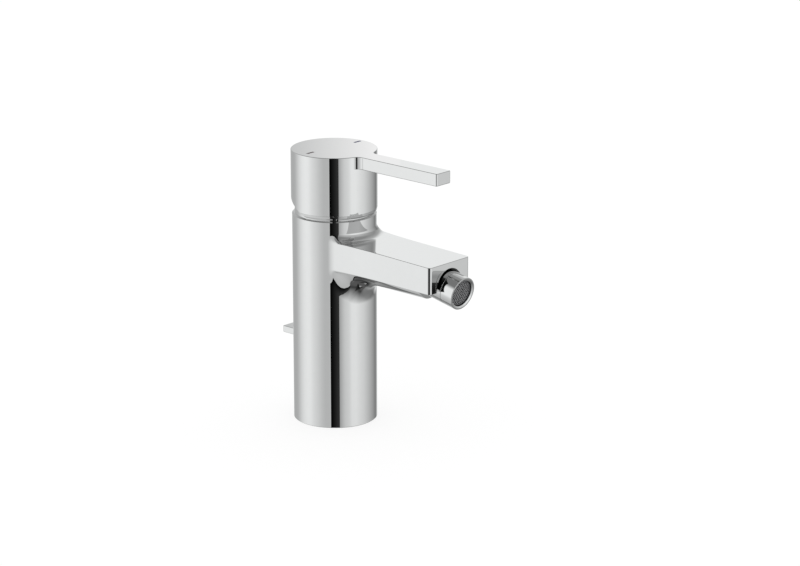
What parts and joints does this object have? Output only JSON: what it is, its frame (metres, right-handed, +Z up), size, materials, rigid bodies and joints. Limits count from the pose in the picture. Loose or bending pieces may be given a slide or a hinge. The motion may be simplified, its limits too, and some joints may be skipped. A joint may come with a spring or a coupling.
{
  "type": "bidet mixer",
  "caption": "Single-lever bidet mixer: a round column body with a flat bar spout, a swivelling aerator nozzle, a cap handle with a bar lever and a pop-up waste knob behind.",
  "frame": {"origin": "centre of the body's base, on the deck, at the middle of the tap hole", "axes": "+Z up the body's axis; the spout and the lever point to -Y, towards the user; +X is the cold side"},
  "size_m": [0.047, 0.1293, 0.152],
  "materials": {
    "chrome_brass": "polished chrome plating on cast brass",
    "chrome_handle": "polished chrome plating on die-cast zinc",
    "chrome_trim": "polished chrome plating",
    "chrome_nozzle": "polished chrome plating on turned brass",
    "bare_brass": "machined",
    "steel": "turned stainless steel",
    "screen_steel": "woven stainless wire",
    "disc_ceramic": "lapped alumina",
    "grey_plastic": "moulded",
    "white_acetal": "moulded, slippery",
    "black_plastic": "moulded",
    "black_rubber": "moulded",
    "red_enamel": "enamel dash",
    "blue_enamel": "enamel dash"
  },
  "bodies": {
    "body": {"body_casting": "chrome_brass", "base_gasket": "black_rubber", "rod_guide": "white_acetal", "cartridge_base": "grey_plastic", "port_seals": "black_rubber", "fixed_disc": "disc_ceramic", "cartridge_housing": "grey_plastic", "cartridge_nut": "bare_brass", "trim_dome": "chrome_trim", "ball_stem": "bare_brass"},
    "mixing_rotor": {"rotary_carrier": "grey_plastic", "pivot_pin": "steel", "carrier_seal": "black_rubber"},
    "lever": {"handle": "chrome_handle", "spindle": "bare_brass", "grub_screw": "steel", "screw_cap": "grey_plastic", "hot_mark": "red_enamel", "cold_mark": "blue_enamel"},
    "disc": {"moving_disc": "disc_ceramic", "disc_driver": "white_acetal"},
    "swivel_liner": {"seat_liner": "white_acetal"},
    "nozzle": {"swivel_socket": "chrome_nozzle", "front_seat": "white_acetal", "nozzle_sleeve": "chrome_nozzle", "aerator_washer": "black_rubber", "aerator_housing": "black_plastic", "jet_plate": "black_plastic", "aerator_screen": "screen_steel"},
    "pop_up_rod": {"lift_rod": "steel", "rod_knob": "chrome_trim"}
  },
  "joints": [
    {"name": "mixing_turn", "type": "hinge", "parent": "body", "child": "mixing_rotor", "pos_m": [0, 0, 0.115], "axis": [0, 0, 1], "range_deg": [-50, 50]},
    {"name": "lever_lift", "type": "hinge", "parent": "mixing_rotor", "child": "lever", "pos_m": [0, 0, 0.115], "axis": [-1, 0, 0], "range_deg": [0, 22]},
    {"name": "disc_slide", "type": "slide", "parent": "mixing_rotor", "child": "disc", "axis": [0, -1, 0], "range_m": [0, 0.0054]},
    {"name": "nozzle_swing", "type": "hinge", "parent": "body", "child": "swivel_liner", "pos_m": [0, -0.0795, 0.0911], "axis": [0, -0.1977, 0.9803], "range_deg": [-6, 6]},
    {"name": "nozzle_tilt", "type": "hinge", "parent": "swivel_liner", "child": "nozzle", "pos_m": [0, -0.0795, 0.0911], "axis": [-1, 0, 0], "range_deg": [-6, 6]},
    {"name": "rod_lift", "type": "slide", "parent": "body", "child": "pop_up_rod", "axis": [0, 0, 1], "range_m": [0, 0.017]}
  ],
  "couplings": [
    {"joint": "disc_slide", "follows": "lever_lift", "m_per_rad": 0.0138}
  ]
}
